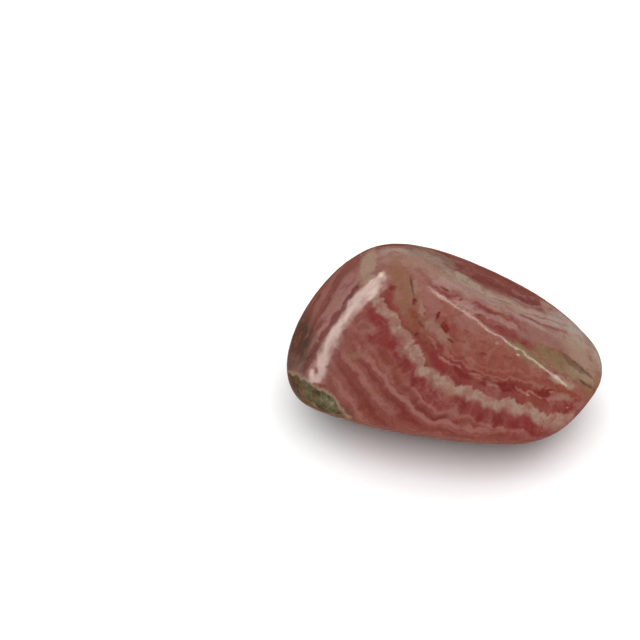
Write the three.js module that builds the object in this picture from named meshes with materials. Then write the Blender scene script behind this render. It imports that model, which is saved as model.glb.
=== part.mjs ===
// A tumbled rhodochrosite stone: one polished pebble, resting on its flattest side.
// Millimetres, +Z up. +X runs along the stone and the broad polished front looks towards -Y and up.
// The origin is on the resting plane, under the middle of the stone.

import * as THREE from "three";
import { mergeVertices } from "three/addons/utils/BufferGeometryUtils.js";

// Driving dimensions.
const RESTING_HEIGHT = 9.5; // from the resting plane up to the stone's heart
const HALF_SIZES = new THREE.Vector3(18, 13.5, 9.6); // rough half length, depth and height
const MESH_DETAIL = 15; // cuts of each edge of the icosahedron that becomes the stone
const RADIUS_STEPS = 40; // halvings when the surface is looked for along a ray

// Tumbling wears a broken lump down to a few broad, slightly domed facets with rounded ridges.
// Each facet here is part of a big sphere. Seen from the stone's heart:
//   bearing   degrees round from the front (-Y), 90 being the right end (+X)
//   tilt      degrees up from level of the way that the facet looks
//   reach     mm from the heart to the top of the facet's dome
//   dome      mm radius of the dome, so a big one is nearly flat
//   softness  mm over which the facet is rounded into those listed before it
const FACETS = [
  { name: "belly", bearing: 0, tilt: -90, reach: 10.0, dome: 45, softness: 3 },
  { name: "front", bearing: -9, tilt: 60, reach: 9.3, dome: 38, softness: 2 },
  { name: "top right", bearing: 98, tilt: 69, reach: 8.5, dome: 60, softness: 1 },
  { name: "left", bearing: -85, tilt: 55, reach: 12.3, dome: 50, softness: 2.2 },
  { name: "crown", bearing: -165, tilt: 88, reach: 11.5, dome: 30, softness: 2.5 },
  { name: "under the front", bearing: -12, tilt: -46, reach: 10.85, dome: 90, softness: 3 },
  { name: "lower left corner", bearing: -42, tilt: -38, reach: 15.9, dome: 60, softness: 2 },
  { name: "left end", bearing: -101, tilt: 0, reach: 18.6, dome: 40, softness: 3 },
  { name: "under the right", bearing: 50, tilt: -32, reach: 16.5, dome: 35, softness: 3 },
  { name: "right nose", bearing: 68, tilt: 6, reach: 22.0, dome: 25, softness: 3 },
  { name: "back right", bearing: 131, tilt: 11, reach: 15.3, dome: 60, softness: 3.5 },
  { name: "back", bearing: 161, tilt: 21, reach: 10.8, dome: 60, softness: 3.5 },
  { name: "back left", bearing: -150, tilt: 9, reach: 15.7, dome: 60, softness: 3.5 },
];

// The centre of the sphere that a facet is part of, behind the stone's heart.
function domeCentre({ bearing, tilt, reach, dome }) {
  const turn = THREE.MathUtils.degToRad(bearing);
  const rise = THREE.MathUtils.degToRad(tilt);
  const facing = new THREE.Vector3(
    Math.sin(turn) * Math.cos(rise),
    -Math.cos(turn) * Math.cos(rise),
    Math.sin(rise),
  );
  return facing.multiplyScalar(reach - dome);
}

const DOMES = FACETS.map((facet) => ({ ...facet, centre: domeCentre(facet) }));

// The larger of two distances, with the crease between them rounded off.
function roundedMax(a, b, softness) {
  const share = THREE.MathUtils.clamp(0.5 + (0.5 * (b - a)) / softness, 0, 1);
  return THREE.MathUtils.lerp(a, b, share) + softness * share * (1 - share);
}

// How far a point is outside the stone, and less than zero inside it.
function heightOverStone(point) {
  const overDome = ({ centre, dome }) => point.distanceTo(centre) - dome;
  const [first, ...others] = DOMES;
  return others.reduce(
    (height, facet) => roundedMax(height, overDome(facet), facet.softness),
    overDome(first),
  );
}

// The point where a ray from the stone's heart comes out of it.
function surfacePoint(direction) {
  let inside = 0;
  let outside = 2 * HALF_SIZES.x;
  const point = new THREE.Vector3();
  for (let step = 0; step < RADIUS_STEPS; step += 1) {
    const radius = (inside + outside) / 2;
    point.copy(direction).multiplyScalar(radius);
    if (heightOverStone(point) > 0) {
      outside = radius;
    } else {
      inside = radius;
    }
  }
  return point;
}

// A ball of even triangles, each corner of it moved out to the stone's surface.
// What would be lower than the resting plane is worn flat on it.
function makeStoneGeometry() {
  const ball = new THREE.IcosahedronGeometry(1, MESH_DETAIL);
  ball.deleteAttribute("normal");
  ball.deleteAttribute("uv");
  const geometry = mergeVertices(ball, 1e-5);
  const corners = geometry.getAttribute("position");
  const direction = new THREE.Vector3();
  for (let i = 0; i < corners.count; i += 1) {
    direction.fromBufferAttribute(corners, i).multiply(HALF_SIZES).normalize();
    const { x, y, z } = surfacePoint(direction);
    corners.setXYZ(i, x, y, Math.max(z, -RESTING_HEIGHT));
  }
  return geometry;
}

// Puts the origin on the resting plane, under the middle of the stone's length and depth.
function standOnOrigin(geometry) {
  geometry.computeBoundingBox();
  const middle = geometry.boundingBox.getCenter(new THREE.Vector3());
  geometry.translate(-middle.x, -middle.y, RESTING_HEIGHT);
  geometry.computeVertexNormals();
  return geometry;
}

function makeStone() {
  const polishedPink = new THREE.MeshStandardMaterial({
    color: 0xa0625a,
    roughness: 0.12,
    metalness: 0,
  });
  const stone = new THREE.Mesh(standOnOrigin(makeStoneGeometry()), polishedPink);
  stone.name = "stone";
  return stone;
}

const specimen = new THREE.Group();
specimen.add(makeStone());

export default specimen;
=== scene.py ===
import math
import random

import bpy
import numpy as np
from mathutils import Matrix, Vector, noise


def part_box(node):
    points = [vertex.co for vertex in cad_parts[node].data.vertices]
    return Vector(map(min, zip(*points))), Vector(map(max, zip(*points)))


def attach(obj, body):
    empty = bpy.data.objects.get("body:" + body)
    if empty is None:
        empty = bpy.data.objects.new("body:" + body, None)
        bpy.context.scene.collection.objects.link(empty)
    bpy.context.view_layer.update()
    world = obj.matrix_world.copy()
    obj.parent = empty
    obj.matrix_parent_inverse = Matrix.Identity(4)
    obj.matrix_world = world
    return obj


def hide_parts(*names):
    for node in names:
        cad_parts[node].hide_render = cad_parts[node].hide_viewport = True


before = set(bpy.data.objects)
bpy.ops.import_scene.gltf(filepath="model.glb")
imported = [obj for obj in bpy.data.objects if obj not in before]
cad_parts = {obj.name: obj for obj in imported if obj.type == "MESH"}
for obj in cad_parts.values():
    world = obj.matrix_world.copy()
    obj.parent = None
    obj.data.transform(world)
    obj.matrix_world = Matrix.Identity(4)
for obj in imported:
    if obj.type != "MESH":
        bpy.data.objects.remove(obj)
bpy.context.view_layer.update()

mm = 0.001
scene = bpy.context.scene
scene.view_settings.view_transform = "Standard"


# the way that something looks, from its bearing round from the front and its tilt up from level
def facing(bearing, tilt):
    turn, rise = math.radians(bearing), math.radians(tilt)
    level = math.cos(rise)
    return np.array([math.sin(turn) * level, -math.cos(turn) * level, math.sin(rise)])


cameraSetup = {
    "height": 40.0,  # degrees above level
    "lens": 150.0,
    "distance": 305.8 * mm,  # from the stone's heart, along the line of sight
    "aside": -14.45 * mm,  # from the stone's heart to the middle of the picture
    "above": 2.87 * mm,
}

# the markings are laid out on the stone as it's seen from here: right, up and towards the viewer
right = np.array([1.0, 0.0, 0.0])
toViewer = facing(0, cameraSetup["height"])
up = facing(180, 90 - cameraSetup["height"])

# the stone's shape, in mm from its heart
stoneShape = {
    # faces worn by the tumbling, each slightly domed: bearing, tilt, reach from the heart,
    # radius of the dome and softness of the ridge towards the faces before it
    "faces": [
        (0, -90, 10.0, 45, 3),
        (-9, 60, 9.3, 38, 2),
        (98, 69, 8.5, 60, 1),
        (-85, 55, 12.3, 50, 2.2),
        (-165, 88, 11.5, 30, 2.5),
        (-12, -46, 10.85, 90, 3),
        (-42, -38, 15.9, 60, 2),
        (-101, 0, 18.6, 40, 3),
        (50, -32, 16.5, 35, 3),
        (68, 6, 22.0, 25, 3),
        (131, 11, 15.3, 60, 3.5),
        (161, 21, 10.8, 60, 3.5),
        (-150, 9, 15.7, 60, 3.5),
    ],
    "heartHeight": 9.5,  # above the resting plane
    "halfSizes": (18, 13.5, 9.6),  # rough half length, depth and height
    "cuts": 126,  # squares along each edge of the cube that becomes the stone
    "farOut": 40.0,  # surely outside the stone, where the search for its skin begins
    "halvings": 36,  # of the search
    # what the polishing left behind
    "swell": (0.22, 0.07),  # scale and height of the broad unevenness
    "ripple": (0.9, 0.022),  # scale and height of the fine one
    "pits": 90,
    "pitSeed": 5,
    "pitSize": (0.18, 0.42),
    "pitDepth": (0.03, 0.09),
    # grooves on the side towards the viewer: both ends as (right, up), half width and depth
    "grooves": [
        ((12.6, -2.6), (15.2, -4.3), 0.22, 0.16),
        ((15.2, -4.3), (17.0, -4.9), 0.2, 0.14),
        ((12.4, -0.9), (15.0, -3.0), 0.25, 0.12),
        ((15.0, -3.0), (17.3, -3.7), 0.2, 0.12),
        ((-15.0, -5.0), (-12.9, -6.4), 0.45, 0.12),
        ((-12.9, -6.4), (-12.0, -8.2), 0.4, 0.3),
    ],
}


# how far points in mm from the heart are outside the stone, and less than zero inside it
def heightOver(points):
    height = None
    for bearing, tilt, reach, dome, softness in stoneShape["faces"]:
        over = np.linalg.norm(points - facing(bearing, tilt) * (reach - dome), axis=1) - dome
        if height is None:
            height = over
            continue
        share = np.clip(0.5 + 0.5 * (over - height) / softness, 0, 1)
        height = height * (1 - share) + over * share + softness * share * (1 - share)
    return height


# how far the polished skin is sunk below the plain faces
def reliefDepth(skin):
    depth = np.zeros(len(skin))
    for scale, height in (stoneShape["swell"], stoneShape["ripple"]):
        depth += height * np.array([noise.noise(Vector(p) * scale) for p in skin])
    dice = random.Random(stoneShape["pitSeed"])
    for pit in range(stoneShape["pits"]):
        centre = skin[dice.randrange(len(skin))]
        size = dice.uniform(*stoneShape["pitSize"])
        sunk = dice.uniform(*stoneShape["pitDepth"])
        depth += sunk * np.exp(-(np.linalg.norm(skin - centre, axis=1) / size) ** 2)
    flat = np.stack([skin @ right, skin @ up], 1)
    isFront = skin @ toViewer > 0
    for start, end, halfWidth, sunk in stoneShape["grooves"]:
        start, run = np.array(start), np.array(end) - np.array(start)
        share = np.clip((flat - start) @ run / (run @ run), 0, 1)
        aside = np.linalg.norm(flat - start - share[:, None] * run, axis=1)
        depth += sunk * np.exp(-(aside / halfWidth) ** 2) * isFront
    return depth


# a cube of even squares blown out along rays from the heart to the stone's skin
def makeSkin():
    cuts = stoneShape["cuts"]
    rays, squares, known = [], [], {}

    def corner(key):
        if key not in known:
            known[key] = len(rays)
            rays.append([math.tan(math.pi / 4 * (2 * k / cuts - 1)) for k in key])
        return known[key]

    for axis in range(3):
        for side in (0, cuts):
            for i in range(cuts):
                for j in range(cuts):
                    ring = [(i, j), (i + 1, j), (i + 1, j + 1), (i, j + 1)]
                    if side == 0:
                        ring.reverse()  # so that it faces outwards
                    keys = [{axis: side, (axis + 1) % 3: a, (axis + 2) % 3: b} for a, b in ring]
                    squares.append([corner((key[0], key[1], key[2])) for key in keys])
    rays = np.array(rays)
    rays *= np.array(stoneShape["halfSizes"]) / np.linalg.norm(rays, axis=1)[:, None]
    rays /= np.linalg.norm(rays, axis=1)[:, None]
    inside = np.zeros(len(rays))
    outside = np.full(len(rays), stoneShape["farOut"])
    for halving in range(stoneShape["halvings"]):
        middle = (inside + outside) / 2
        isOut = heightOver(rays * middle[:, None]) > 0
        outside = np.where(isOut, middle, outside)
        inside = np.where(isOut, inside, middle)
    skin = rays * inside[:, None]
    sunk = rays * (inside - reliefDepth(skin))[:, None]
    for points in (skin, sunk):  # what would be lower than the resting plane is worn flat on it
        points[:, 2] = np.maximum(points[:, 2], -stoneShape["heartHeight"])
    return skin, sunk, squares


# puts the stone where the frame has it; returns it and the place of its heart
def makeStone():
    skin, sunk, squares = makeSkin()
    low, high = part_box("stone")
    middle = (skin.min(0) + skin.max(0)) / 2 * mm
    heart = Vector((
        (low.x + high.x) / 2 - middle[0],
        (low.y + high.y) / 2 - middle[1],
        low.z + stoneShape["heartHeight"] * mm,
    ))
    mesh = bpy.data.meshes.new("polishedStone")
    mesh.from_pydata([heart + Vector(p) * mm for p in sunk], [], squares)
    mesh.shade_smooth()
    stone = bpy.data.objects.new("polishedStone", mesh)
    scene.collection.objects.link(stone)
    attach(stone, "root")
    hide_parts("stone")
    return stone, heart


# a value in a shader that can be reckoned with
class Wire:
    def __init__(self, bench, socket):
        self.bench = bench
        self.socket = socket

    def __add__(self, other):
        return self.bench.maths("ADD", self, other)

    def __radd__(self, other):
        return self.bench.maths("ADD", other, self)

    def __sub__(self, other):
        return self.bench.maths("SUBTRACT", self, other)

    def __rsub__(self, other):
        return self.bench.maths("SUBTRACT", other, self)

    def __mul__(self, other):
        return self.bench.maths("MULTIPLY", self, other)

    def __rmul__(self, other):
        return self.bench.maths("MULTIPLY", other, self)

    def __truediv__(self, other):
        return self.bench.maths("DIVIDE", self, other)

    def __rtruediv__(self, other):
        return self.bench.maths("DIVIDE", other, self)

    def __pow__(self, other):
        return self.bench.maths("POWER", self, other)

    def __rpow__(self, other):
        return self.bench.maths("POWER", other, self)

    def __abs__(self):
        return self.bench.maths("ABSOLUTE", self)


# where a shader's nodes are made and wired up
class Bench:
    def __init__(self, tree):
        self.tree = tree
        tree.nodes.clear()

    # makes a node with its settings, then fills its sockets; returns its outputs by name
    def add(self, kind, settings, sockets):
        node = self.tree.nodes.new(kind)
        for name, value in settings.items():
            if name == "stops":
                self.setStops(node.color_ramp.elements, value)
            else:
                setattr(node, name, value)
        for name, value in sockets.items():
            if isinstance(value, Wire):
                self.tree.links.new(value.socket, node.inputs[name])
            else:
                node.inputs[name].default_value = value
        return {out.name: Wire(self, out) for out in reversed(node.outputs) if out.enabled}

    # gives a colour ramp, which is made with two stops, its stops as (position, colour)
    def setStops(self, stops, wanted):
        for k, (position, colour) in enumerate(wanted):
            stop = stops[k] if k < 2 else stops.new(1.0)
            stop.position = position
            stop.color = colour

    def maths(self, operation, *values):
        isVector = any(isinstance(v, Wire) and v.socket.type in ("VECTOR", "RGBA") for v in values)
        kind = "ShaderNodeVectorMath" if isVector else "ShaderNodeMath"
        if isVector:
            values = [(v, v, v) if isinstance(v, (int, float)) else v for v in values]
        made = self.add(kind, {"operation": operation}, dict(enumerate(values)))
        return made.get("Vector") or made["Value"]

    def larger(self, a, b):
        return self.maths("MAXIMUM", a, b)

    def roundedLarger(self, a, b, softness):
        sockets = {0: a, 1: b, 2: softness}
        return self.add("ShaderNodeMath", {"operation": "SMOOTH_MAX"}, sockets)["Value"]

    def dot(self, vector, other):
        sockets = {0: vector, 1: other}
        return self.add("ShaderNodeVectorMath", {"operation": "DOT_PRODUCT"}, sockets)["Value"]

    def length(self, vector):
        return self.add("ShaderNodeVectorMath", {"operation": "LENGTH"}, {0: vector})["Value"]

    def direction(self, vector):
        return self.add("ShaderNodeVectorMath", {"operation": "NORMALIZE"}, {0: vector})["Vector"]

    def join(self, x, y, z):
        return self.add("ShaderNodeCombineXYZ", {}, {0: x, 1: y, 2: z})["Vector"]

    def split(self, vector):
        made = self.add("ShaderNodeSeparateXYZ", {}, {0: vector})
        return made["X"], made["Y"], made["Z"]

    # 0 before start, 1 past end, smooth between them
    def step(self, value, start, end):
        sockets = {"Value": value, "From Min": start, "From Max": end}
        return self.add("ShaderNodeMapRange", {"interpolation_type": "SMOOTHSTEP"}, sockets)["Result"]

    # straight line through (start, a) and (end, b)
    def slope(self, value, start, end, a, b):
        sockets = {"Value": value, "From Min": start, "From Max": end, "To Min": a, "To Max": b}
        return self.add("ShaderNodeMapRange", {"clamp": False}, sockets)["Result"]

    def mix(self, share, a, b):
        return self.add("ShaderNodeMix", {"data_type": "RGBA"}, {0: share, 6: a, 7: b})["Result"]

    # a value "Fac" around 0.5 and a "Color" of three such values
    def noise(self, vector, scale, detail=3.0, roughness=0.6):
        sockets = {"Vector": vector, "Scale": scale, "Detail": detail, "Roughness": roughness}
        return self.add("ShaderNodeTexNoise", {"noise_dimensions": "3D"}, sockets)

    # the distance from the middle of the nearest cell
    def cells(self, vector, scale):
        settings = {"feature": "F1", "voronoi_dimensions": "3D"}
        sockets = {"Vector": vector, "Scale": scale, "Randomness": 0.9}
        return self.add("ShaderNodeTexVoronoi", settings, sockets)["Distance"]


# a colour as a shader has it, from red, green and blue up to 255
def tone(red, green, blue):
    def linear(c):
        c /= 255
        return c / 12.92 if c <= 0.04045 else ((c + 0.055) / 1.055) ** 2.4
    return (linear(red), linear(green), linear(blue), 1)


# a colour for each level of a pile of layers
def layered(bench, level, tones):
    first, last = tones[0][0], tones[-1][0]
    stops = [((at - first) / (last - first), tone(*colour)) for at, colour in tones]
    share = bench.slope(level, first, last, 0.0, 1.0)
    return bench.add("ShaderNodeValToRGB", {"stops": stops}, {"Fac": share})["Color"]


strandFade = 0.12  # share of a strand's length over which each end of it fades
depthShare = 0.12  # how much depth counts in a blot, beside right and up


# how strongly thin layers show at a level of the pile, each of them between two places along it:
# (from, to), (level there, level here), half width, strength
def strandShare(bench, along, level, strands):
    total = 0.0
    for (start, end), (before, after), halfWidth, strength in strands:
        off = abs(level - bench.slope(along, start, end, before, after))
        fade = (end - start) * strandFade
        share = bench.step(off, halfWidth * 1.5, halfWidth * 0.5) * strength  # with soft edges
        share = share * bench.step(along, start - fade, start + fade)
        total = bench.larger(total, share * bench.step(along, end + fade, end - fade))
    return total


# how many times its own half sizes a point of the face is away from the middle of a blot
def blotReach(bench, face, at, size, turn=0.0):
    turn = math.radians(turn)
    lengthways = np.array([math.cos(turn), math.sin(turn), 0]) / size[0]
    across = np.array([-math.sin(turn), math.cos(turn), 0]) / size[1]
    middle = np.array([at[0], at[1], 0])
    return bench.length(bench.join(
        bench.dot(face, tuple(lengthways)) - float(middle @ lengthways),
        bench.dot(face, tuple(across)) - float(middle @ across),
        bench.dot(face, (0, 0, depthShare)),
    ))


# how strongly blots show: (right, up), (half length, half width), turn from level, strength
def blotShare(bench, face, softness, blots):
    total = 0.0
    for at, size, turn, strength in blots:
        reach = blotReach(bench, face, at, size, turn)
        total = bench.larger(total, bench.step(reach, 1 + softness, 1 - softness) * strength)
    return total


# how the markings lie in the stone, in mm from its heart: right and up as they're seen
layout = {
    "ringCore": (10.8, 10.3),  # the growth rings run round it
    # the rings grow down and left from the core, and turn flat along the stone's foot:
    # the way that each part of them grows, and how far out the main pale ring is
    "ringSide": (-0.853, -0.523, 3.27),
    "ringFoot": (-0.247, -0.969, 4.79),
    "ringBend": 3.0,  # over which the side rounds into the foot
    "rightRidge": (0.59, 0.807, 3.95),  # the way that it faces, and how far out it is
    "leftRidge": (0.48, 0.048, 13.5),  # slant, bow and how far left it is
    "blotDepth": 5.5,  # blots end from this depth below the broad front
    "blotEnd": 6,  # how abruptly they do
    # edges: scale and size of what makes them ragged, and softness in half sizes of the blot
    "blotEdge": ((0.7, 1.0), 0.4),
    "spotEdge": ((2.2, 0.25), 0.35),
    "endEdge": ((0.7, 0.7), 0.4),
    "sway": (0.16, 7.0, (3.0, 10.0)),  # scale, growth with depth, and the depths it grows over
    # where other layers take over from the rings: past the two ridges and below the broad front
    "pastRight": (-0.15, 0.3),
    "pastLeft": (-0.2, 0.5),
    "deepDown": (7.5, 9.5),
    "leftToRight": (-9, -6.5),  # where the left layers give way to the right ones
}


# where a point of the stone is among its markings, all in mm
class Place:
    def __init__(self, bench, heart):
        self.spot = (bench.add("ShaderNodeTexCoord", {}, {})["Object"] - tuple(heart)) / mm
        bearing, tilt, reach, dome = stoneShape["faces"][1][:4]  # the broad front
        behind = tuple(facing(bearing, tilt) * (reach - dome))
        self.depth = dome - bench.length(self.spot - behind)  # below the broad front
        # for what runs through the stone, and for the blots, which end not far below the front
        self.seenAt = bench.join(bench.dot(self.spot, tuple(right)), bench.dot(self.spot, tuple(up)), 0.0)
        tooDeep = bench.larger(self.depth - layout["blotDepth"], 0.0) * layout["blotEnd"]
        self.face = self.seenAt + bench.join(0.0, 0.0, tooDeep)
        self.bend(bench)
        self.findRings(bench)
        slopeRight, slopeUp, out = layout["rightRidge"]
        self.beyondRight = slopeRight * self.u + slopeUp * self.v - out
        slant, bow, out = layout["leftRidge"]
        self.beyondLeft = slant * self.v + bow * self.v * self.v - out - self.u

    # right, up and towards the viewer, swayed more and more with depth
    def bend(self, bench):
        scale, growth, depths = layout["sway"]
        amount = 1 + growth * bench.step(self.depth, *depths)
        bent = self.spot + (bench.noise(self.spot, scale, 1.0, 0.5)["Color"] - 0.5) * amount
        self.u = bench.dot(bent, tuple(right))
        self.v = bench.dot(bent, tuple(up))
        self.w = bench.dot(bent, tuple(toViewer))

    # how far out among the rings, and which way from their core
    def findRings(self, bench):
        side, foot = (
            slopeRight * self.u + slopeUp * self.v - out
            for slopeRight, slopeUp, out in (layout["ringSide"], layout["ringFoot"])
        )
        self.layer = bench.roundedLarger(side, foot, layout["ringBend"])
        coreRight, coreUp = layout["ringCore"]
        self.outwards = bench.direction(bench.join(self.u - coreRight, self.v - coreUp, 0.0))
        turn = bench.maths("ARCTAN2", coreRight - self.u, coreUp - self.v)
        self.turn = turn * (180 / math.pi)  # degrees round the core


# the front: levels are mm outwards from the main pale ring, places along are degrees round the core
frontLayers = {
    "tones": [
        (-10, (158, 108, 92)), (-6, (156, 92, 78)), (-4.2, (151, 81, 67)), (-3.2, (148, 75, 61)),
        (-2.5, (136, 54, 46)), (-1.6, (140, 62, 54)), (-0.6, (146, 76, 66)), (0.9, (142, 66, 60)),
        (2, (138, 60, 54)), (2.7, (150, 82, 74)), (3.5, (136, 66, 57)), (4.3, (148, 84, 74)),
        (5.1, (136, 66, 57)), (6.2, (146, 84, 74)), (7.3, (134, 66, 58)), (9, (146, 86, 76)),
        (12, (134, 66, 58)), (15, (150, 96, 84)),
    ],
    "ringRadius": 17.5,  # of the main pale ring
    "teeth": ((0.5, 1.3, 1.5), (1.45, 1.2, 0.5)),  # big and small: scale, sharpness, height
    "toothMiddle": 0.35,  # what a tooth's height is counted from
    "toothShare": 0.55,  # how toothed the layers are beside the main pale ring
    "toothChange": (0.6, 0.12),  # how quickly teeth change towards the viewer and outwards
    "waves": (0.5, 1.3),  # scale and height
    # ropes are streaks along the rings and fibres run across them: how quickly they change
    # round the core, outwards and, fibres only, towards the viewer
    "ropeStretch": (4.5, 1.3),
    "fibreStretch": (0.55, 0.35, 0.2),
    # where the noise that makes them begins and ends to show them, strength, colour
    "ropes": (((0.52, 0.68), 0.5, (168, 110, 98)), ((0.46, 0.32), 0.55, (122, 42, 38))),
    "fibres": (((0.5, 0.7), 0.45, (162, 100, 90)), ((0.5, 0.3), 0.6, (124, 40, 38))),
    # fibres are mostly in the first layers outside the main pale ring: the levels between
    # which they come and go, and how strong they are elsewhere
    "fibrous": ((0.2, 0.8), (4.5, 2.0), 0.3),
    # both ends along the rings, level at both ends, half width, strength
    "strands": {
        "pale": ((172, 116, 104), [
            ((-4, 31), (-2.2, -2.05), 0.16, 0.75),
            ((27, 48), (-2.4, -2.15), 0.15, 0.75),
            ((46, 59), (-2.1, -1.6), 0.16, 0.7),
            ((58, 72), (-1.9, -3.0), 0.2, 0.7),
            ((70, 86), (-3.0, -3.4), 0.25, 0.6),
            ((0, 47), (-3.2, -2.9), 0.12, 0.4),
            ((14, 45), (-3.9, -3.5), 0.12, 0.3),
            ((6, 46), (2.5, 2.9), 0.2, 0.4),
            ((17, 64), (3.2, 5.2), 0.28, 0.7),
            ((44, 65), (6.2, 7.2), 0.35, 0.6),
            ((40, 60), (8.6, 9.6), 0.25, 0.5),
            ((6, 36), (4.8, 5.0), 0.25, 0.4),
        ]),
        "deep": ((118, 46, 40), [
            ((27, 43), (3.3, 3.7), 0.2, 0.6),
            ((22, 60), (4.4, 5.9), 0.2, 0.55),
            ((40, 62), (7.3, 8.2), 0.25, 0.5),
        ]),
    },
}

# the face right of the sharp ridge: levels are mm below the front, places along are mm to the right
rightLayers = {
    "tones": [
        (-4, (166, 122, 106)), (-2, (156, 96, 84)), (-1, (150, 82, 72)), (-0.4, (142, 68, 62)),
        (0, (156, 92, 84)), (0.5, (150, 80, 74)), (0.9, (162, 106, 98)), (1.25, (174, 140, 126)),
        (1.55, (166, 126, 114)), (1.95, (178, 152, 134)), (2.35, (170, 140, 122)),
        (2.6, (140, 84, 72)), (2.9, (120, 54, 46)), (3.7, (132, 66, 56)), (4.6, (124, 60, 52)),
        (6, (140, 84, 74)), (7, (162, 124, 108)), (8, (134, 66, 58)), (10, (150, 96, 84)),
        (12, (126, 60, 52)), (14, (162, 124, 108)), (16, (134, 70, 62)), (20, (150, 98, 86)),
    ],
    "tilt": 0.2,  # how much the layers sink to the right
    "waves": (0.4, 0.6, 0.9),  # scale along the face and deeper, and height
    "wander": 5,  # how far the waves carry the ends of the strands along
    # scale, height, what it is counted from, and the levels that they fade between
    "scallops": (0.75, 0.5, 0.4, (1.5, 0.5)),
    # how quickly the streaks change to the right, upwards and across the layers
    "stretch": (0.3, 0.1, 3.2),
    "streaks": (((0.52, 0.68), 0.5, (176, 132, 122)), ((0.47, 0.33), 0.5, (128, 58, 52))),
    "strands": {
        "deep": ((134, 54, 52), [
            ((-2.0, 6.5), (0.4, 0.75), 0.16, 0.75),
            ((5, 9), (-0.6, -0.5), 0.4, 0.6),
            ((3, 10), (-0.05, -0.1), 0.1, 0.5),
            ((8, 16), (1.4, 1.8), 0.1, 0.6),
            ((9, 16), (1.85, 2.45), 0.1, 0.6),
            ((9.5, 16), (2.45, 3.1), 0.12, 0.5),
            ((9, 15), (0.5, 0.6), 0.12, 0.4),
        ]),
        "pink": ((158, 114, 102), [
            ((8.5, 16), (0.3, 0.6), 0.6, 0.75),
        ]),
        "pale": ((180, 142, 130), [
            ((-2, 5), (0.1, 0.2), 0.12, 0.6),
            ((3.5, 8), (0.3, 0.35), 0.14, 0.6),
            ((5, 14), (1.0, 1.3), 0.12, 0.6),
            ((7.5, 16), (1.6, 2.15), 0.14, 0.85),
            ((9, 16), (2.1, 2.8), 0.14, 0.7),
            ((11, 18), (3.3, 3.6), 0.65, 0.85),
        ]),
        "grey": ((138, 120, 98), [
            ((-4.5, 1.0), (2.1, 2.0), 0.25, 0.55),
            ((-3.5, 0.5), (3.5, 3.4), 0.45, 0.6),
        ]),
        "milky": ((170, 154, 134), [
            ((-3.5, 2.5), (2.65, 2.3), 0.3, 0.8),
        ]),
    },
}

# the face left of the broad ridge: levels are mm below the front, places along are mm up
leftLayers = {
    "tones": [
        (0, (148, 88, 80)), (0.8, (152, 96, 86)), (1.2, (144, 80, 74)), (1.7, (152, 94, 86)),
        (2.3, (142, 78, 70)), (3.2, (138, 76, 66)), (4, (140, 84, 72)), (5, (132, 70, 60)),
        (6.5, (148, 94, 82)), (8, (132, 66, 58)), (10, (158, 114, 100)), (13, (136, 72, 64)),
        (17, (152, 98, 86)),
    ],
    "waves": (0.45, 0.9),  # scale and height
    # how quickly the streaks change upwards and across the layers
    "stretch": (0.3, 2.6),
    "streaks": (((0.52, 0.68), 0.45, (160, 104, 96)), ((0.47, 0.33), 0.5, (110, 48, 44))),
    "strands": {
        "pale": ((172, 122, 112), [
            ((-3, 8), (1.35, 1.45), 0.14, 0.85),
            ((3, 8.5), (1.7, 2.1), 0.35, 0.7),
            ((1.5, 9), (2.6, 3.6), 0.25, 0.4),
            ((-1, 3), (1.6, 3.6), 0.16, 0.6),
        ]),
        "deep": ((106, 44, 40), [
            ((-4, 8.5), (0.95, 1.15), 0.16, 0.6),
            ((0, 8.5), (1.9, 2.8), 0.12, 0.4),
        ]),
    },
}

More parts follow.
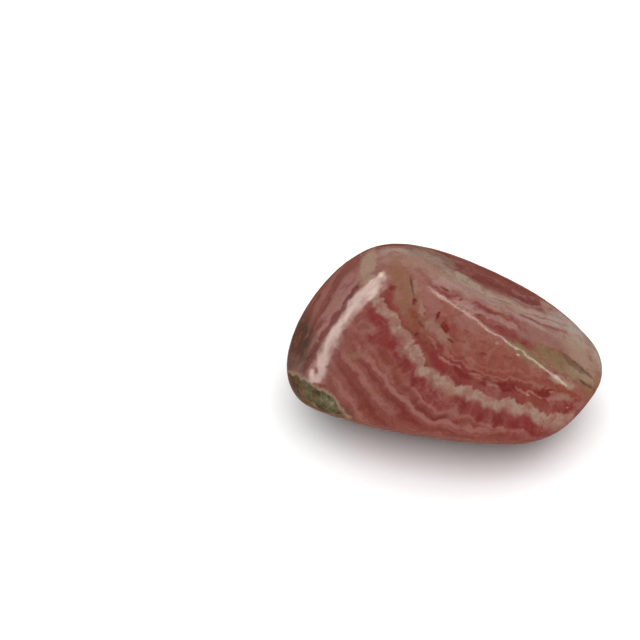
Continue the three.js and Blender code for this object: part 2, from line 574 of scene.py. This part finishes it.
# blots of other colours on the side towards the viewer, each: middle as (right, up),
# half length and half width, degrees turned from level, strength
blots = {
    "tan": ((150, 104, 80), [
        ((-4.7, 5.7), (4.5, 1.3), -68, 0.9),
        ((-10.2, -1.0), (0.9, 0.6), 0, 0.8),
        ((16.4, -5.2), (1.8, 1.2), 60, 0.95),
    ]),
    "ochre": ((152, 126, 96), [
        ((14.1, -3.1), (2.9, 0.75), -29, 0.9),
    ]),
    "rust": ((140, 74, 54), [
        ((-3.4, 2.4), (1.8, 0.7), -66, 0.8),
    ]),
    "rosy": ((162, 110, 100), [
        ((-2.2, 5.6), (2.6, 1.1), -62, 0.7),
        ((1.6, 2.8), (1.8, 0.8), -36, 0.7),
        ((-9.3, 2.2), (0.9, 0.7), 0, 0.7),
        ((-5.4, -0.7), (0.8, 0.6), 0, 0.6),
        ((14.6, -6.7), (0.8, 0.5), -20, 0.8),
        ((13.4, -7.7), (1.0, 0.4), 25, 0.7),
    ]),
    "milky": ((164, 124, 108), [
        ((-1.2, 1.6), (1.9, 0.8), -58, 0.8),
        ((-2.6, 9.0), (2.6, 1.4), -20, 0.75),
        ((-3.7, 6.9), (1.1, 0.35), -84, 0.8),
        ((-3.1, 4.1), (1.0, 0.25), -66, 0.8),
        ((12.6, -5.8), (0.9, 0.45), 0, 0.8),
        ((12.6, -8.6), (1.8, 0.9), 20, 0.8),
    ]),
    "olive": ((140, 114, 78), [
        ((8.7, -1.1), (2.6, 0.7), -33, 0.9),
        ((11.7, -1.3), (2.5, 0.75), -28, 0.85),
    ]),
    "beige": ((176, 146, 124), [
        ((15.6, -0.6), (3.0, 1.9), -48, 0.85),
        ((17.0, 0.6), (4.6, 2.0), -64, 0.85),
        ((15.5, -3.0), (2.2, 0.9), -30, 0.7),
        ((12.7, -4.1), (1.5, 0.5), -24, 0.9),
        ((-8.9, 9.3), (1.9, 0.85), 68, 0.85),
        ((-9.0, 7.4), (1.1, 0.5), 20, 0.7),
    ]),
    "shell": ((186, 175, 165), [
        ((14.8, 2.9), (3.2, 1.5), -52, 0.75),
        ((12.4, 3.0), (1.2, 0.6), -40, 0.4),
        ((17.8, -0.8), (2.6, 1.0), -78, 0.8),
    ]),
    "petal": ((182, 142, 132), [
        ((-0.5, 7.1), (1.5, 0.45), -25, 0.7),
        ((1.8, 4.7), (1.3, 0.4), -25, 0.7),
    ]),
    "smoke": ((146, 118, 104), [
        ((-0.8, 9.4), (1.8, 0.5), -24, 0.5),
        ((-3.2, 11.0), (1.9, 0.7), -12, 0.5),
    ]),
    "umber": ((112, 80, 62), [
        ((14.0, -2.2), (1.9, 0.4), -38, 0.7),
        ((0.6, 11.2), (1.4, 0.6), -10, 0.75),
    ]),
    # painted shade: the crevice at the host rock's right end, darkened as if in shade
    "creviceShade": ((60, 50, 36), [
        ((-11.8, -8.0), (1.5, 0.8), -60, 0.85),
    ]),
    "crimson": ((136, 44, 46), [
        ((-7.8, 4.0), (1.6, 1.3), 50, 0.8),
        ((-6.6, 0.6), (1.9, 0.8), -10, 0.8),
        ((-3.9, -2.6), (1.4, 0.7), -50, 0.6),
        ((-1.4, -1.6), (1.5, 0.5), -52, 0.8),
        ((8.2, -8.3), (1.8, 0.8), 0, 0.7),
    ]),
    "darkRed": ((120, 32, 28), [
        ((4.0, -3.9), (0.8, 0.42), -10, 0.85),
        ((6.2, -4.4), (1.3, 0.5), -16, 0.9),
        ((1.2, -2.8), (1.2, 0.4), -36, 0.8),
        ((10.3, -5.3), (0.8, 0.4), 10, 0.9),
    ]),
}

# the dark left end, right through the stone: dark brown and greenish rock, darkened further with painted
# shade; the ash blot is its own lighter colour
endBlotsAndShade = {
    "walnutAndShade": ((74, 56, 43), [
        ((-17.5, 0.4), (3.8, 2.2), 78, 0.92),
    ]),
    "ash": ((120, 100, 88), [
        ((-17.2, -2.2), (1.4, 0.8), 100, 0.55),
    ]),
    "mossAndShade": ((58, 54, 36), [
        ((-18.2, -5.4), (2.2, 1.8), 100, 0.95),
    ]),
}

# small sharp spots, laid out as the blots are
spots = {
    "blood": ((118, 16, 13), [
        ((-3.9, 4.9), (0.4, 0.26), 80, 0.95),
        ((-1.25, 3.4), (0.42, 0.2), 65, 0.95),
        ((-0.55, 2.0), (0.66, 0.34), -62, 1.0),
        ((-6.3, 6.5), (0.45, 0.3), 0, 0.6),
        ((8.1, 0.3), (0.5, 0.2), -20, 0.6),
        ((3.7, -0.9), (0.35, 0.16), -15, 0.7),
    ]),
    "bark": ((92, 50, 38), [
        ((0.05, 0.6), (0.35, 0.2), -40, 0.95),
        ((-0.4, 6.3), (0.5, 0.13), -30, 0.8),
        ((-4.15, 6.8), (1.2, 0.13), -82, 0.7),
        ((-3.1, 2.2), (0.8, 0.16), -62, 0.6),
        ((-10.2, 6.6), (0.16, 0.14), 0, 0.8),
        ((-13.7, -2.4), (0.22, 0.16), 0, 0.8),
        ((-3.7, 1.3), (0.32, 0.22), 30, 0.8),
        ((-2.0, -0.1), (0.42, 0.14), -40, 0.85),
        ((1.3, 4.1), (0.5, 0.13), -25, 0.8),
        ((3.3, 3.4), (0.28, 0.14), -10, 0.7),
    ]),
    "bronze": ((96, 70, 44), [
        ((14.9, -2.5), (2.1, 0.16), -40, 0.7),
        ((15.6, -4.45), (1.3, 0.16), -29, 0.85),
    ]),
    # painted glints: small pinkish-white highlights, as tiny polished pits would give them
    "paintedGlints": ((200, 140, 128), [
        ((8.6, -5.45), (0.25, 0.15), 0, 0.8),
        ((13.75, -7.8), (0.26, 0.18), 0, 0.8),
        ((13.1, -6.9), (0.15, 0.12), 0, 0.8),
        ((11.2, -5.1), (0.2, 0.1), 0, 0.7),
        ((5.2, 0.3), (0.2, 0.14), 0, 0.6),
    ]),
    "cream": ((204, 172, 138), [
        ((-7.6, 8.0), (0.35, 0.3), 0, 0.9),
    ]),
}


# the main pale ring, scalloped inside and feathered outside, in mm outwards from its middle
paleRing = {
    # from where it is not seen at all to where it is all there
    "inside": (-0.95, -0.6),
    "outside": (1.0, 0.2),
    "shift": (0.4, (38, 50)),  # outwards on its left side, between these degrees round the core
    "feathers": 0.8,
    "tones": ((164, 116, 102), (176, 144, 126)),  # rosy and creamy
    "creamy": (0.38, 0.62),  # the milkiness between which the one turns into the other
    "strength": (0.72, 0.4),  # least, and what the milkiness adds
}

# the greenish rock that the crystal grew on, with a cream seam round it
hostRock = {
    "middle": (-16.3, -7.8),
    "halfSizes": (6.5, 3.5),
    "turn": -38,
    "mottle": (0.9, 4.0, 0.65),  # scale, detail and roughness of the noise that mottles it
    # the noise between which the dark rock turns light, and between which specks show
    "lightening": (0.35, 0.62),
    "speckling": (0.6, 0.7),
    "dark": (58, 56, 33),
    "light": (112, 106, 76),
    "specks": (158, 142, 116),
    # the left end's dark tone: darker rock and painted shade
    "leftEndRockAndShade": (50, 46, 30),
    "darkening": (-15.5, -18.0),  # where the rock's left end goes dark: darker rock with painted shade
    "darkest": 0.7,  # how much of it does
    "seam": (162, 134, 112),
    # how far out, in half sizes of the rock
    "rockTo": 0.94,
    "seamFrom": 1.02,
    "seamTo": 1.14,
}

# what goes over all of the stone
finish = {
    # clouds of warmer, rosier and deeper red, with their strength
    "clouds": (((150, 86, 60), 0.35), ((166, 114, 104), 0.4), ((122, 40, 35), 0.35)),
    "cloudScale": 0.55,
    "cloudEdge": (0.54, 0.7),  # the noise between which a cloud gathers
    "grain": (2.6, 3.0, 0.7),  # scale, detail and roughness
    "brightness": (0.58, 0.42),  # least, and what the grain adds
    "roughness": (0.1, 0.06),  # least, and what the grain adds
    "bump": (0.25, 0.05 * mm),  # strength and height of the grain
    "ior": 1.45,
}


def paintStrands(bench, colour, along, level, groups):
    for paint, strands in groups.values():
        colour = bench.mix(strandShare(bench, along, level, strands), colour, tone(*paint))
    return colour


def paintBlots(bench, colour, face, softness, groups):
    for paint, places in groups.values():
        colour = bench.mix(blotShare(bench, face, softness, places), colour, tone(*paint))
    return colour


# streaks of other colours where a noise is high or low
def paintStreaks(bench, colour, streaks, paints, where=1.0):
    for (start, end), strength, paint in paints:
        share = bench.step(streaks, start, end) * (strength * where)
        colour = bench.mix(share, colour, tone(*paint))
    return colour


# uneven sideways shifts that make the edges of layers and blots ragged
def ragged(bench, vector, scale, amount):
    return (bench.noise(vector, scale)["Color"] - 0.5) * (2 * amount)


def frontColour(bench, place):
    # mm along the rings, so that teeth have the same width everywhere
    across = place.outwards * frontLayers["ringRadius"]
    nearer, farOut = frontLayers["toothChange"]
    across = across + bench.join(0.0, 0.0, place.w * nearer + place.layer * farOut)
    toothed = place.layer
    for scale, sharpness, height in frontLayers["teeth"]:
        teeth = bench.cells(across, scale) ** sharpness
        toothed = toothed - height * (teeth - frontLayers["toothMiddle"])
    scale, height = frontLayers["waves"]
    toothShare = frontLayers["toothShare"]
    level = place.layer * (1 - toothShare) + toothed * toothShare
    level = level + height * (bench.noise(place.spot, scale)["Fac"] - 0.5)
    colour = layered(bench, level, frontLayers["tones"])
    stretchRound, stretchOut = frontLayers["ropeStretch"]
    along = place.outwards * stretchRound + bench.join(0.0, 0.0, level * stretchOut)
    ropes = bench.noise(along, 1.0)["Fac"]
    colour = paintStreaks(bench, colour, ropes, frontLayers["ropes"])
    stretchRound, stretchOut, stretchNearer = frontLayers["fibreStretch"]
    out = bench.join(place.turn * stretchRound, level * stretchOut, place.w * stretchNearer)
    fibres = bench.noise(out, 1.0, 2.0, 0.5)["Fac"]
    coming, going, elsewhere = frontLayers["fibrous"]
    isFibrous = bench.step(level, *coming) * bench.step(level, *going) + elsewhere
    colour = paintStreaks(bench, colour, fibres, frontLayers["fibres"], isFibrous)
    colour = paintStrands(bench, colour, place.turn, level, frontLayers["strands"])
    return colour, toothed, fibres


def addPaleRing(bench, place, colour, toothed, fibres):
    shift, turns = paleRing["shift"]
    ring = toothed - shift * bench.step(place.turn, *turns) + paleRing["feathers"] * (fibres - 0.5)
    milky = bench.noise(place.spot, 1.0)["Fac"]
    isPale = bench.step(ring, *paleRing["inside"]) * bench.step(ring, *paleRing["outside"])
    rosy, cream = paleRing["tones"]
    pale = bench.mix(bench.step(milky, *paleRing["creamy"]), tone(*rosy), tone(*cream))
    weakest, milkShare = paleRing["strength"]
    return bench.mix(isPale * (weakest + milkShare * milky), colour, pale)


def rightColour(bench, place):
    scale, scaleDeeper, height = rightLayers["waves"]
    waves = bench.join(place.u * scale, place.v * scale, place.depth * scaleDeeper)
    wavy = bench.noise(waves, 1.0)["Fac"] - 0.5
    level = place.depth - rightLayers["tilt"] * bench.larger(place.u, 0.0) + height * wavy
    scale, height, middle, levels = rightLayers["scallops"]
    scallops = bench.cells(bench.join(place.u, place.v, place.depth), scale)
    level = level + height * (scallops - middle) * bench.step(level, *levels)
    colour = layered(bench, level, rightLayers["tones"])
    stretchRight, stretchUp, stretchAcross = rightLayers["stretch"]
    along = bench.join(place.u * stretchRight, place.v * stretchUp, level * stretchAcross)
    streaks = bench.noise(along, 1.0, 3.0, 0.65)["Fac"]
    colour = paintStreaks(bench, colour, streaks, rightLayers["streaks"])
    wandering = place.u + rightLayers["wander"] * wavy
    return paintStrands(bench, colour, wandering, level, rightLayers["strands"])


def leftColour(bench, place):
    scale, height = leftLayers["waves"]
    level = place.depth + height * (bench.noise(place.spot, scale)["Fac"] - 0.5)
    colour = layered(bench, level, leftLayers["tones"])
    stretchUp, stretchAcross = leftLayers["stretch"]
    along = bench.join(place.v * stretchUp, 0.0, level * stretchAcross)
    streaks = bench.noise(along, 1.0, 3.0, 0.65)["Fac"]
    colour = paintStreaks(bench, colour, streaks, leftLayers["streaks"])
    return paintStrands(bench, colour, place.v, level, leftLayers["strands"])


def addHostRock(bench, place, face, colour):
    reach = blotReach(bench, face, hostRock["middle"], hostRock["halfSizes"], hostRock["turn"])
    mottle = bench.noise(place.spot, *hostRock["mottle"])["Fac"]
    isLight = bench.step(mottle, *hostRock["lightening"])
    rock = bench.mix(isLight, tone(*hostRock["dark"]), tone(*hostRock["light"]))
    rock = bench.mix(bench.step(mottle, *hostRock["speckling"]), rock, tone(*hostRock["specks"]))
    # the left end darkened: partly darker rock, partly painted shade
    isShadedLeftEnd = bench.step(place.u, *hostRock["darkening"]) * hostRock["darkest"]
    rock = bench.mix(isShadedLeftEnd, rock, tone(*hostRock["leftEndRockAndShade"]))
    isSeam = bench.step(reach, hostRock["seamTo"], hostRock["seamFrom"])
    colour = bench.mix(isSeam, colour, tone(*hostRock["seam"]))
    return bench.mix(bench.step(reach, hostRock["seamFrom"], hostRock["rockTo"]), colour, rock)


def stoneColour(bench, place):
    # behind the two ridges and deep down the layers lie flat under the front face
    isRight = bench.step(place.beyondRight, *layout["pastRight"])
    isLeft = bench.step(place.beyondLeft, *layout["pastLeft"])
    isDeep = bench.step(place.depth, *layout["deepDown"])
    isFlat = bench.larger(bench.larger(isRight, isLeft), isDeep)
    rightShare = bench.step(place.u, *layout["leftToRight"])
    flat = bench.mix(rightShare, leftColour(bench, place), rightColour(bench, place))
    front, toothed, fibres = frontColour(bench, place)
    colour = bench.mix(isFlat, front, flat)
    unevenness, softness = layout["blotEdge"]
    byBlot = place.face + ragged(bench, place.spot, *unevenness)
    colour = paintBlots(bench, colour, byBlot, softness, blots)
    colour = bench.mix(isFlat, addPaleRing(bench, place, colour, toothed, fibres), colour)
    unevenness, softness = layout["spotEdge"]
    bySpot = place.face + ragged(bench, place.spot, *unevenness)
    colour = paintBlots(bench, colour, bySpot, softness, spots)
    unevenness, softness = layout["endEdge"]
    through = place.seenAt + ragged(bench, place.spot, *unevenness)
    # the left end's own dark rock, with painted shade over it
    colour = paintBlots(bench, colour, through, softness, endBlotsAndShade)
    colour = addHostRock(bench, place, through, colour)
    clouds = bench.split(bench.noise(place.spot, finish["cloudScale"])["Color"])
    for cloud, (paint, strength) in zip(clouds, finish["clouds"]):
        share = bench.step(cloud, *finish["cloudEdge"]) * strength
        colour = bench.mix(share, colour, tone(*paint))
    return colour


def makeRhodochrosite(heart):
    material = bpy.data.materials.new("bandedRhodochrosite")
    material.use_nodes = True
    bench = Bench(material.node_tree)
    place = Place(bench, heart)
    grain = bench.noise(place.spot, *finish["grain"])["Fac"]
    darkest, grainLight = finish["brightness"]
    smoothest, grainRoughness = finish["roughness"]
    strength, height = finish["bump"]
    bump = bench.add("ShaderNodeBump", {}, {"Height": grain, "Strength": strength, "Distance": height})
    surface = bench.add("ShaderNodeBsdfPrincipled", {}, {
        "Base Color": stoneColour(bench, place) * (darkest + grainLight * grain),
        "Roughness": smoothest + grainRoughness * grain,
        "Normal": bump["Normal"],
        "IOR": finish["ior"],
    })
    bench.add("ShaderNodeOutputMaterial", {}, {"Surface": surface["BSDF"]})
    return material


def makeCamera(heart):
    data = bpy.data.cameras.new("studioCamera")
    data.lens = cameraSetup["lens"]
    data.clip_start, data.clip_end = 0.01, 20
    camera = bpy.data.objects.new("studioCamera", data)
    scene.collection.objects.link(camera)
    away = toViewer * cameraSetup["distance"] + right * cameraSetup["aside"] + up * cameraSetup["above"]
    camera.location = heart + Vector(away)
    camera.rotation_mode = "QUATERNION"
    camera.rotation_quaternion = (-Vector(toViewer)).to_track_quat("-Z", "Y")
    scene.camera = camera


studio = {
    "floorTone": 0.95,
    "floorRoughness": 0.9,
    "floorSize": 3,  # metres
    "horizon": (-0.1, 0.1),  # from the one glow to the other, 1 being straight up
    "skyGlow": (0.2, 0.2, 0.2),
    "underGlow": (0.24, 0.1, 0.075),  # what the polish mirrors from below level
    "lampDistance": 0.6,  # metres
    # lamps: bearing and height of both ends seen from the stone, degrees thick, brightness
    "stripLamps": {  # only for their highlights
        "leftStrip": ((-120, 26.5), (-86, 23), 10.5, 8.8),
        "backLeftStrip": ((-138, 42), (-119, 28), 18, 8.2),
        "rightStrip": ((163, 65), (93, 30), 4.5, 10.0),
    },
    "stripColour": (1.0, 0.98, 0.88),
    "fillLamps": {  # only for their light
        "topFill": ((-90, 30), (90, 30), 80, 0.93),
        "frontFill": ((-8, 16), (48, 16), 32, 0.9),
        "leftFill": ((-136, 42), (-86, 18), 24, 1.0),
        "rightFill": ((152, 64), (98, 38), 20, 1.3),
    },
    "floorLamps": {  # only to keep the floor white close to the stone
        "floorLight": ((-50, 54), (50, 54), 36, 1.9),
    },
}


def makeFloor():
    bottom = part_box("stone")[0].z
    bpy.ops.mesh.primitive_plane_add(size=studio["floorSize"], location=(0, 0, bottom))
    floor = bpy.context.object
    floor.name = "floor"
    pale = bpy.data.materials.new("paleFloor")
    pale.use_nodes = True
    shader = pale.node_tree.nodes["Principled BSDF"]
    shader.inputs["Base Color"].default_value = (studio["floorTone"],) * 3 + (1,)
    shader.inputs["Roughness"].default_value = studio["floorRoughness"]
    shader.inputs["Specular IOR Level"].default_value = 0
    floor.data.materials.append(pale)
    floor.visible_glossy = False  # no bright rim of floor in the polish
    return floor


def makeLamp(name, heart, start, end, thickness, brightness):
    distance = studio["lampDistance"]
    first, last = (Vector(facing(*way)) * distance for way in (start, end))
    data = bpy.data.lights.new(name, "AREA")
    data.shape = "RECTANGLE"
    data.size = (last - first).length
    data.size_y = 2 * distance * math.tan(math.radians(thickness / 2))
    data.energy = brightness * math.pi * data.size * data.size_y
    lamp = bpy.data.objects.new(name, data)
    scene.collection.objects.link(lamp)
    away = (first + last) / 2
    lengthways = (last - first).normalized()
    across = away.cross(lengthways).normalized()
    turned = Matrix((lengthways, across, lengthways.cross(across))).transposed()
    lamp.rotation_mode = "QUATERNION"
    lamp.rotation_quaternion = turned.to_quaternion()
    lamp.location = heart + away
    return lamp


# an even glow above level, and what the floor would give back below it
def makeWorld():
    world = bpy.data.worlds.new("studio")
    world.use_nodes = True
    bench = Bench(world.node_tree)
    height = bench.split(bench.add("ShaderNodeTexCoord", {}, {})["Generated"])[2]
    isSky = bench.step(height, *studio["horizon"])
    glow = bench.mix(isSky, (*studio["underGlow"], 1), (*studio["skyGlow"], 1))
    background = bench.add("ShaderNodeBackground", {}, {"Color": glow})["Background"]
    bench.add("ShaderNodeOutputWorld", {}, {"Surface": background})
    return world


def makeStudio(heart):
    floorOnly = bpy.data.collections.new("floorOnly")
    floorOnly.objects.link(makeFloor())
    scene.world = makeWorld()
    for name, lamp in studio["stripLamps"].items():
        strip = makeLamp(name, heart, *lamp)
        strip.visible_diffuse = False
        strip.data.color = studio["stripColour"]
    for name, lamp in studio["fillLamps"].items():
        makeLamp(name, heart, *lamp).visible_glossy = False
    for name, lamp in studio["floorLamps"].items():
        makeLamp(name, heart, *lamp).light_linking.receiver_collection = floorOnly


stone, heart = makeStone()
print("stone made:", len(stone.data.polygons), "squares")
stone.data.materials.append(makeRhodochrosite(heart))
print("finish made")
makeCamera(heart)
makeStudio(heart)
print("camera, floor and lamps set")
